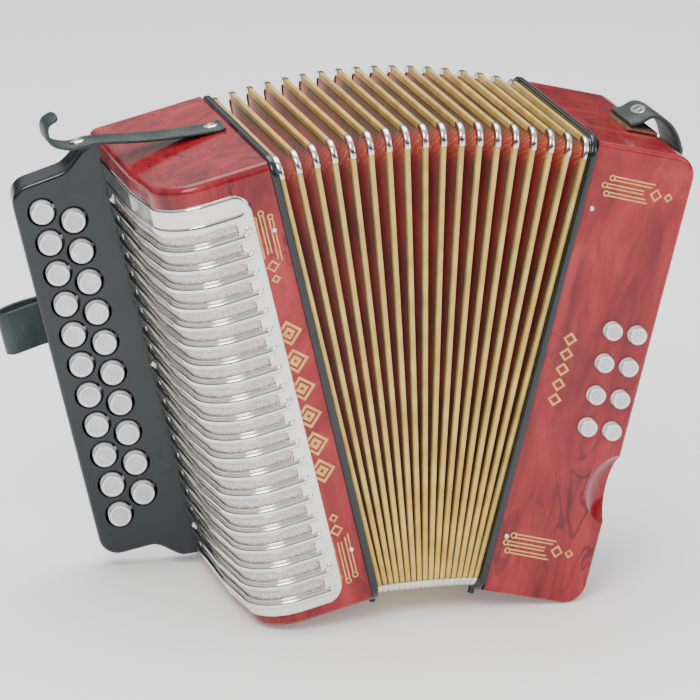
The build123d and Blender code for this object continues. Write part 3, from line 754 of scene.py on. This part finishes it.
cap_reach = {
    "front_top": (0, casing_high, 12.5),
    "front_low": (0, 0, 8.5),
    "back_top": (casing_deep, casing_high, 12.5),
    "back_low": (casing_deep, 0, 8.5),
}
cap_rings = {}
for corner_name, (corner_y, corner_z, reach) in cap_reach.items():
    inner_y = corner_y + (30 if corner_y == 0 else -30)
    inner_z = corner_z + (30 if corner_z == 0 else -30)
    inner_turn = math.atan2(corner_z - inner_z, corner_y - inner_y)
    cap_rings[corner_name] = sorted(
        (
            (point, out) for point, out in bellows_ring(0.0, bellows_corner, spacing=2.0)
            if abs(point.y - corner_y) < reach and abs(point.z - corner_z) < reach
        ),
        key=lambda item: (
            math.atan2(item[0].z - inner_z, item[0].y - inner_y) - inner_turn + math.pi
        ) % (2 * math.pi),
    )

for ridge in range(fold_total + 1):
    pieces_here = [(f"gold_tape_{ridge + 1}", ridge_ring, tape_section, True, gold_tape)]
    for corner_name, ring in cap_rings.items():
        pieces_here.append((f"{corner_name}_cap_{ridge + 1}", ring, cap_section, False, nickel))
    end_body = {0: "treble", fold_total: "bass"}.get(ridge)
    for name, ring, section, around, finish in pieces_here:
        mesh = ridge_loft(ridge, ring, section, around)
        made = piece(name, mesh, treble_seat, finish, end_body, 60)
        if not end_body:
            blend_turning(made, ridge, ridge, *ridge_body(ridge))
for fold in range(1, fold_total // 2 + 1):
    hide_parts(f"bellows_fold_{fold}")

# ---- Fingerboard ----
# Hollow black board that stands out from the treble casing's back edge, turned slightly
# outwards; a front with a round hole for each button, walls behind it and a thin back.
board_turn = math.radians(7.5)
board_front, board_deep, board_face, board_back = 133.0, 21.0, 5.0, 3.0
board_reach, board_low, board_high = 58.0, 20.5, 264.0
button_round, button_gap, button_proud = 7.0, 1.7, 3.6
board_local = Matrix((
    (math.cos(board_turn), 0, -math.sin(board_turn), -treble_wide),
    (-math.sin(board_turn), 0, -math.cos(board_turn), board_front),
    (0, 1, 0, 0),
    (0, 0, 0, 1),
))
board_seat = treble_seat @ board_local


def eased(start, end, start_way, end_way, steps=8):
    """Points of a curve that leaves the start and reaches the end along those ways."""
    points = []
    for step in range(1, steps + 1):
        t = step / steps
        a, b = (1 + 2 * t) * (1 - t) ** 2, t * t * (3 - 2 * t)
        c, d = t * (1 - t) ** 2, t * t * (t - 1)
        points.append(tuple(
            a * start[k] + b * end[k] + c * start_way[k] + d * end_way[k] for k in (0, 1)
        ))
    return points


def board_edge():
    """The board's outline, from the casing round the lower end, up and back to the casing."""
    left, round_corner = -board_reach, 12.0
    edge = [(0.0, board_low - 12.0), (-8.0, board_low - 12.0)]
    edge += eased(edge[-1], (-28.0, board_low), (-22, 0), (-22, 0))
    for centre, first in (((left + 12, board_low + 12), 270), ((left + 12, board_high - 12), 180)):
        edge += [
            (centre[0] + round_corner * math.cos(turn), centre[1] + round_corner * math.sin(turn))
            for turn in (math.radians(first - 90 * k / 8) for k in range(9))
        ]
    edge += [(-27.0, board_high + 2)]
    edge += eased(edge[-1], (-10.0, board_high + 13), (20, 2), (12, 8))
    edge += [(0.0, board_high + 14.0)]
    return edge


def drawn_in(outline, by):
    """The outline moved inwards, except where the board meets the casing."""
    moved = []
    count = len(outline)
    for index, (x, y) in enumerate(outline):
        before, after = Vector(outline[index - 1]), Vector(outline[(index + 1) % count])
        along = (after - before).normalized()
        side = Vector((along.y, -along.x))
        moved.append((x if x > -0.1 else x + side.x * by, y + side.y * by))
    return moved


def round_outline(centre, wide, high, steps=40):
    """Points of a circle, or of an oval, with that half width and half height."""
    turns = [2 * math.pi * k / steps for k in range(steps)]
    return [(centre[0] + wide * math.cos(turn), centre[1] + high * math.sin(turn)) for turn in turns]


outer_column, inner_column, button_top, button_pitch = -42.0, -25.0, 245.2, 19.9
outer_buttons = [(outer_column, button_top - row * button_pitch) for row in range(11)]
inner_buttons = [(inner_column, button_top - (row + 0.5) * button_pitch) for row in range(10)]
buttons = sorted(outer_buttons + inner_buttons, key=lambda spot: -spot[1])
edge_round, wall_thick = 2.6, 4.0
rim_outline = board_edge()
front_outline = drawn_in(rim_outline, edge_round)
hole_round = button_round + button_gap
button_holes = [round_outline(spot, hole_round, hole_round) for spot in buttons]
mesh = plate([front_outline] + button_holes, board_face, 0, 0.5)
mesh.transform(Matrix.Translation((0, 0, -board_face)))
fingerboard = piece("fingerboard_front", mesh, board_seat, lacquer, "treble", 40)
settle(fingerboard)
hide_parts("fingerboard", "fingerboard_back")
rim_rings = []
for step in range(7):
    turn = math.pi / 2 * step / 6
    ring = drawn_in(rim_outline, edge_round * (1 - math.sin(turn)))
    rim_rings.append([(x, y, -edge_round * (1 - math.cos(turn))) for x, y in ring])
inner_outline = drawn_in(rim_outline, wall_thick)
for outline, depth in (
    (rim_outline, board_deep - 0.8), (drawn_in(rim_outline, 0.8), board_deep),
    (inner_outline, board_deep), (inner_outline, board_face),
):
    rim_rings.append([(x, y, -depth) for x, y in outline])
piece("fingerboard_walls", loft(rim_rings, capped=False), board_seat, lacquer, "treble", 40)
mesh = plate([drawn_in(rim_outline, wall_thick + 0.2)], board_back, 0.6)
mesh.transform(Matrix.Translation((0, 0, -board_deep + 0.1)))
settle(piece("fingerboard_back", mesh, board_seat, lacquer, "treble", 40))

# ---- Buttons ----
# White pearl caps with rounded rims and a faint hollow for the fingertip, pressed on to
# bright alloy levers in the treble and bright alloy plungers in the bass.


def turned_mesh(profile, centre, axis, sides=40):
    """Lathe a profile of (radius, height) round an axis that starts at the centre."""
    way = Vector(axis).normalized()
    side = way.orthogonal().normalized()
    other = way.cross(side)
    rings = []
    for radius, height in profile:
        rings.append([
            Vector(centre) + way * height
            + (side * math.cos(turn) + other * math.sin(turn)) * max(radius, 0.01)
            for turn in (2 * math.pi * k / sides for k in range(sides))
        ])
    return loft(rings)


pearl = Finish(
    "white_pearl", "pearl_button",
    roughness=0.22, coat_weight=0.4, coat_roughness=0.05, subsurface_weight=0.05,
)
swirl = pearl.noise(170.0, 4.0, 0.6, warp=1.6)
pearl.shade(base_color=pearl.ramp(swirl, (0.30, (0.90, 0.90, 0.93)), (0.62, (1.0, 1.0, 1.0))))
alloy = Finish("alloy_lever", metallic=1.0)
alloy_tone = alloy.ramp(alloy.noise(80.0, 4.0), (0.3, (0.52, 0.52, 0.53)), (0.7, (0.70, 0.70, 0.70)))
alloy.shade(base_color=alloy_tone, roughness=alloy.ramp(alloy.noise(140.0, 3.0), (0.3, 0.26), (0.8, 0.44)))


cap_skin = 0.07


def pearl_cap(name, radius, proud, deep, centre, axis, seat, body):
    """A turned cap that covers its button by the thickness of a skin."""
    radius, proud, deep = radius + cap_skin, proud + cap_skin, deep + cap_skin
    profile = [
        (0, proud - 0.45), (radius * 0.45, proud - 0.40), (radius * 0.68, proud - 0.15),
        (radius * 0.80, proud), (radius - 0.75, proud - 0.10), (radius - 0.25, proud - 0.55),
        (radius, proud - 1.3), (radius, -deep), (0, -deep),
    ]
    piece(name, turned_mesh(profile, centre, axis), seat, pearl, body, 30)
    dress(body, alloy.material)


for number, (reach, level) in enumerate(buttons, start=1):
    pearl_cap(
        f"treble_cap_{number:02d}", button_round, button_proud, 6.0,
        (reach, level, 0), (0, 0, 1), board_seat, f"treble_key_{number:02d}",
    )
bass_spots = [(column, level) for level in (170.0, 150.0, 130.0, 110.0) for column in (37.4, 53.0)]
for number, (column, level) in enumerate(bass_spots, start=1):
    pearl_cap(
        f"bass_cap_{number}", 5.5, 4.2, 6.0,
        (column, 0, level), (0, -1, 0), bass_seat, f"bass_button_{number}",
    )
bass_wide = 63.7
pearl_cap(
    "air_button_cap", 7.0, 5.0, 4.0,
    (bass_wide, 34.0, 69.0), (1, 0, 0), bass_seat, "air_button",
)

# ---- Inside ----
# Planed spruce soundboards glued across the casings, with reed blocks stood on them; zinc
# reed plates waxed to the blocks, and a steel axle through the fingerboard for the levers.
spruce = Finish("planed_spruce", roughness=0.62)
grain_lines = spruce.noise(60.0, 5.0, 0.6, stretch=(1.0, 1.0, 0.06))
spruce_tone = spruce.ramp(grain_lines, (0.35, (0.42, 0.25, 0.11)), (0.68, (0.64, 0.44, 0.24)))
spruce.shade(base_color=spruce_tone, bump=grain_lines, lift=0.0003, strength=0.5)
for side in ("treble", "bass"):
    dress(f"{side}_soundboard", spruce.material)
    dress(f"{side}_reed_blocks", spruce.material)
dress("bass_button_guide", spruce.material)
zinc = Finish("zinc_reed_plate", metallic=1.0, base_color=(0.48, 0.50, 0.51, 1))
zinc.shade(roughness=zinc.ramp(zinc.noise(120.0, 4.0), (0.3, 0.30), (0.8, 0.55)))
dress("treble_reed_plates", zinc.material)
dress("bass_reed_plates", zinc.material)
dress("treble_lever_axle", alloy.material)

# ---- Straps ----
# Bands of black grained leather with pressed edge lines: one that ties the bellows shut,
# curled up where its end is free, the left hand's strap and a loop for the right thumb.
leather = Finish("black_leather", "strap_leather", roughness=0.5, specular_ior_level=0.45)
hide = leather.add(
    "ShaderNodeTexVoronoi", {"Vector": leather.where, "Scale": 620.0}, feature="DISTANCE_TO_EDGE"
)
worn = leather.noise(45.0, 5.0, 0.6)
leather_tone = leather.ramp(worn, (0.32, (0.013, 0.026, 0.024)), (0.72, (0.040, 0.066, 0.060)))
hide_height = leather.ramp(hide, (0.0, 0.0), (0.35, 1.0))
leather.shade(
    base_color=leather_tone, roughness=leather.ramp(worn, (0.3, 0.36), (0.8, 0.58)),
    bump=hide_height, lift=0.00025, strength=0.6,
)
hide_edge = Finish("cut_leather_edge", "strap_leather", roughness=0.75)
hide_edge.shade(base_color=hide_edge.ramp(
    hide_edge.noise(240.0, 4.0), (0.3, (0.10, 0.048, 0.022)), (0.7, (0.24, 0.12, 0.055))
))


def smooth_path(points, parts=9):
    """A smooth curve through the points, as closely spaced points."""
    points = [Vector(point) for point in points]
    ends = [points[0] * 2 - points[1]] + points + [points[-1] * 2 - points[-2]]
    path = []
    for a, b, c, d in zip(ends, ends[1:], ends[2:], ends[3:]):
        for part in range(parts):
            t = part / parts
            cubed, squared = -a + 3 * b - 3 * c + d, 2 * a - 5 * b + 4 * c - d
            path.append((cubed * t ** 3 + squared * t ** 2 + (c - a) * t) / 2 + b)
    return path + [points[-1]]


def band(path, across, wide, thick, tip=0.0):
    """Leather band along a path: across is the way of its width, tip rounds off its last end."""
    across = Vector(across).normalized()
    half, lift = wide / 2, thick / 2
    edge = ((0, 0.3), (0.5, 0.86), (1.2, 1.0), (1.9, 0.74), (2.6, 1.0))
    face = [(-half + u, v) for u, v in edge] + [(0, 1.04)] + [(half - u, v) for u, v in reversed(edge)]
    section = [(u * side, v * side * lift) for side in (1, -1) for u, v in face]
    rings = []
    total = sum((b - a).length for a, b in zip(path, path[1:]))
    run = 0.0
    for index, point in enumerate(path):
        ahead = path[min(index + 1, len(path) - 1)] - path[max(index - 1, 0)]
        out = across.cross(ahead.normalized())
        if index:
            run += (point - path[index - 1]).length
        narrow = 1.0
        if tip and total - run < tip:
            narrow = max(0.12, math.sqrt(max(0.0, 1 - (1 - (total - run) / tip) ** 2)))
        rings.append([point + across * (u * narrow) + out * v for u, v in section])
    return loft(rings)


strap_y, strap_wide, strap_thick = 88.0, 18.0, 2.2
top = casing_high + strap_thick / 2
curl = [
    (-4, top + 0.3), (-12, top + 0.3), (-47, top + 6), (-80, top + 14),
    (-96, top + 15.5), (-106, top + 22), (-106, top + 32), (-98, top + 35.5),
]
curl = [(x, strap_y, z) for x, z in curl]
mesh = band(smooth_path(curl), (0, 1, 0), strap_wide, strap_thick, tip=3.0)
bellows_strap = piece("bellows_strap", mesh, treble_seat, leather, "treble", 50)
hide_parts("bellows_strap")

hand_y, hand_wide, hand_thick = 65.5, 37.0, 2.6
over = hand_thick / 2 + 0.3
hand_reach = bass_wide + over
crown = [
    (35, casing_high + over + 2.3), (41, casing_high + over + 5.0), (47, casing_high + over + 9.5),
    (54, casing_high + over + 9), (62, casing_high + over + 4.5), (hand_reach + 3.5, casing_high - 3),
    (hand_reach + 6, casing_high - 16), (hand_reach + 10, casing_high / 2 + 40),
    (hand_reach + 10.5, casing_high / 2 - 10), (hand_reach + 7, 50),
    (hand_reach + 1.5, 24), (hand_reach, 16),
]
crown = [(x, hand_y, z) for x, z in crown]
mesh = band(smooth_path(crown), (0, 1, 0), hand_wide, hand_thick)
hand_strap = piece("bass_hand_strap", mesh, bass_seat, leather, "bass", 50)
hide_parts("bass_hand_strap")
anchor = [(x, hand_y, casing_high + 1.15) for x in (33.5, 38, 43, 48, 53)]
mesh = band(smooth_path(anchor), (0, 1, 0), hand_wide, 2.0)
piece("hand_strap_anchor", mesh, bass_seat, hide_edge, "bass", 50)

thumb_z, thumb_wide, thumb_thick = 170.0, 27.0, 2.3
thumb_lie = -board_deep - 1.6
loop = [
    (-10, thumb_lie), (-34, thumb_lie), (-board_reach, thumb_lie), (-board_reach - 12, thumb_lie + 3),
    (-board_reach - 21, thumb_lie + 5), (-board_reach - 24.5, thumb_lie), (-board_reach - 20, thumb_lie - 7),
    (-board_reach - 4, thumb_lie - 11), (-board_reach + 18, thumb_lie - 8),
    (-board_reach + 36, thumb_lie - 2.4), (-10, thumb_lie - 2.4),
]
loop = [(reach, thumb_z, depth) for reach, depth in loop]
mesh = band(smooth_path(loop), (0, 1, 0), thumb_wide, thumb_thick)
thumb_strap = piece("thumb_strap", mesh, board_seat, leather, "treble", 50)
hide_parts("thumb_strap")

# ---- Fittings ----
# Domed nickel screws and bellows pins, the stud of the bellows strap, the hand strap's
# buckle, and the small black feet under the bellows frames.


def screw(name, centre, axis, body, seat, radius=2.1, tall=1.2):
    """A domed nickel head, a little hollow in the middle."""
    profile = [
        (0, tall * 0.55), (radius * 0.24, tall * 0.55), (radius * 0.30, tall), (radius * 0.62, tall * 0.86),
        (radius * 0.88, tall * 0.5), (radius, tall * 0.12), (radius, -0.3), (0, -0.3),
    ]
    return piece(name, turned_mesh(profile, centre, axis, 24), seat, nickel, body, 40)


grille_screw_levels = (grille_low + 23, (grille_low + grille_high) / 2, grille_high - 23)
treble_screws = [
    screw(f"grille_front_screw_{k}", (-20.5, -sheet_lift, level), (0, -1, 0), "treble", treble_seat)
    for k, level in enumerate(grille_screw_levels)
]
treble_screws += [
    screw(
        f"grille_end_screw_{k}", (-treble_wide - sheet_lift, 124.0, level), (-1, 0, 0),
        "treble", treble_seat,
    )
    for k, level in enumerate(grille_screw_levels)
]
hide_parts("treble_fittings")
pin_across, pin_round, foot_across, foot_in = 5.4, 1.7, 2.3, 14.0
foot_profile = [(0, 4.0), (1.5, 4.0), (2.0, 3.5), (2.0, -0.5), (0, -0.5)]
for side, seat, outward in (("treble", treble_seat, -1), ("bass", bass_seat, 1)):
    for face, pin_y, way in (("front", 0, -1), ("back", casing_deep, 1)):
        for level in (36.0, 240.0):
            centre = (outward * pin_across, pin_y, level)
            screw(f"{side}_{face}_pin_{level:.0f}", centre, (0, way, 0), side, seat, pin_round)
    for face, foot_y in (("front", foot_in), ("back", casing_deep - foot_in)):
        centre = (-outward * foot_across, foot_y, -frame_proud)
        mesh = turned_mesh(foot_profile, centre, (0, 0, -1), 24)
        piece(f"{side}_{face}_foot", mesh, seat, lacquer, side, 40)
cover_in_y, cover_in_z = 19.0, 21.0
for across in (cover_in_y, casing_deep - cover_in_y):
    for level in (cover_in_z, casing_high / 2, casing_high - cover_in_z):
        name = f"cover_screw_{across:.0f}_{level:.0f}"
        cover_screw = screw(name, (bass_wide, across, level), (1, 0, 0), "bass", bass_seat)
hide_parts("bass_fittings")
eyelet = [(1.1, 0.2), (1.3, 1.0), (2.4, 1.35), (3.9, 1.15), (4.5, 0.6), (4.6, -0.2), (0.1, -0.2)]
for name, across, level in (("bellows_strap_stud", -11, 0.2), ("bellows_strap_snap", -90, 15.0)):
    mesh = turned_mesh(eyelet, (across, strap_y, top + strap_thick / 2 + level), (0.08, 0, 1), 32)
    piece(name, mesh, treble_seat, nickel, "treble", 40)
buckle_holes = [round_outline((0, off), 1.3, 1.3, 20) for off in (-3.6, 3.6)]
mesh = plate([round_outline((0, 0), 4.2, 8.4, 48)] + buckle_holes, 1.0, 0.4, 0.2)
mesh.transform(
    Matrix.Translation((44.3, hand_y, casing_high + over + 8.7)) @ Matrix.Rotation(math.radians(-36), 4, "Y")
)
piece("hand_strap_buckle", mesh, bass_seat, nickel, "bass", 40)

# ---- Inlaid lines ----
# Thin gold lines pressed into the celluloid: sets of three narrow loops with a ring at one
# end and two hollow lozenges past the other, and plain rows of lozenges between them.
inlay = Finish("gold_inlay", metallic=0.35, roughness=0.42)
inlay_tone = inlay.ramp(inlay.noise(220.0, 3.0), (0.3, (0.60, 0.32, 0.075)), (0.7, (0.84, 0.50, 0.15)))
inlay.shade(base_color=inlay_tone, bump=inlay.noise(400.0, 2.0), lift=0.0001, strength=0.3)
line_wide, inlay_lift, ring_round = 0.85, 0.10, 1.5


def line_quads(points, wide, closed=False):
    """Quads that draw a line of that width through points in the face's x and z."""
    points = [Vector(point) for point in points]
    count = len(points)
    sides = []
    for index, here in enumerate(points):
        before = points[index - 1] if closed or index else here
        after = points[(index + 1) % count] if closed or index < count - 1 else here
        first = (here - before).normalized() if before != here else (after - here).normalized()
        second = (after - here).normalized() if after != here else first
        mid = (first + second).normalized()
        normal = Vector((-mid.y, mid.x))
        reach = wide / 2 / max(0.35, abs(normal.dot(Vector((-first.y, first.x)))))
        sides.append((here + normal * reach, here - normal * reach))
    spans = range(count if closed else count - 1)
    quads = []
    for k in spans:
        (left, right), (next_left, next_right) = sides[k], sides[(k + 1) % count]
        quads.append((left, right, next_right, next_left))
    return quads


def lozenge(centre, half):
    """Corners of a lozenge that is a little taller than wide."""
    x, z = centre
    return [(x + half, z), (x, z + half * 1.05), (x - half, z), (x, z - half * 1.05)]


def loops_motif(long_reach):
    """Three loops with rings at one end and lozenges past the other, along the x axis."""
    quads = []
    short_reach, third_reach = long_reach * 0.86, long_reach * 0.93
    for middle, start, finish in ((5.2, 3.6, long_reach), (0.2, 0.0, short_reach), (-4.6, 2.4, third_reach)):
        ring = round_outline((start, middle), ring_round, ring_round, 16)
        quads += line_quads(ring, 0.8, closed=True)
        for side in (-1.05, 1.05):
            cut = 1.6 if side * (middle - 0.2) < 0.5 else 0.0
            quads += line_quads([(start + 1.4, middle + side), (finish - cut, middle + side)], line_wide)
    quads += line_quads(lozenge((short_reach + 6.2, 0.2), 3.2), 1.0, closed=True)
    quads += line_quads(lozenge((short_reach + 14.2, 0.2), 2.2), 0.9, closed=True)
    return quads


def lay_inlay(name, quads, seat, body, centre, heading):
    """Lay a drawing on the front face, its x axis turned to the heading from the centre."""
    turn = math.radians(heading)
    bm = bmesh.new()
    for quad in quads:
        ring = []
        for point in quad:
            ring.append(bm.verts.new((
                centre[0] + point.x * math.cos(turn) - point.y * math.sin(turn),
                -inlay_lift,
                centre[1] + point.x * math.sin(turn) + point.y * math.cos(turn),
            )))
        bm.faces.new(ring)
    grown = bmesh.ops.extrude_face_region(bm, geom=bm.faces[:])
    sunk = [item for item in grown["geom"] if isinstance(item, bmesh.types.BMVert)]
    bmesh.ops.translate(bm, verts=sunk, vec=(0, 0.3, 0))
    bmesh.ops.recalc_face_normals(bm, faces=bm.faces)
    piece(name, mesh_from(bm), seat, inlay, body, 30)


loops = loops_motif(31.0)
lay_inlay("treble_top_loops", loops, treble_seat, "treble", (-11.3, 252.0), -90)
lay_inlay("treble_low_loops", loops, treble_seat, "treble", (-11.3, 17.5), 90)
lay_inlay("bass_top_loops", loops, bass_seat, "bass", (9.5, 255.0), -1.5)
lay_inlay("bass_low_loops", loops, bass_seat, "bass", (6.0, 32.0), -1.5)
treble_row, bass_row = [], []
for row in range(6):
    level = 89.0 + row * 17.6
    treble_row += line_quads(lozenge((level, 0.0), 6.8), 1.5, closed=True)
    treble_row += line_quads(lozenge((level, 0.0), 2.6), 1.9, closed=True)
for row in range(5):
    bass_row += line_quads(lozenge((123.0 + row * 9.4, 0.0), 3.4), 1.2, closed=True)
lay_inlay("treble_lozenge_row", treble_row, treble_seat, "treble", (-11.5, 0.0), 90)
lay_inlay("bass_lozenge_row", bass_row, bass_seat, "bass", (13.0, 0.0), 90)
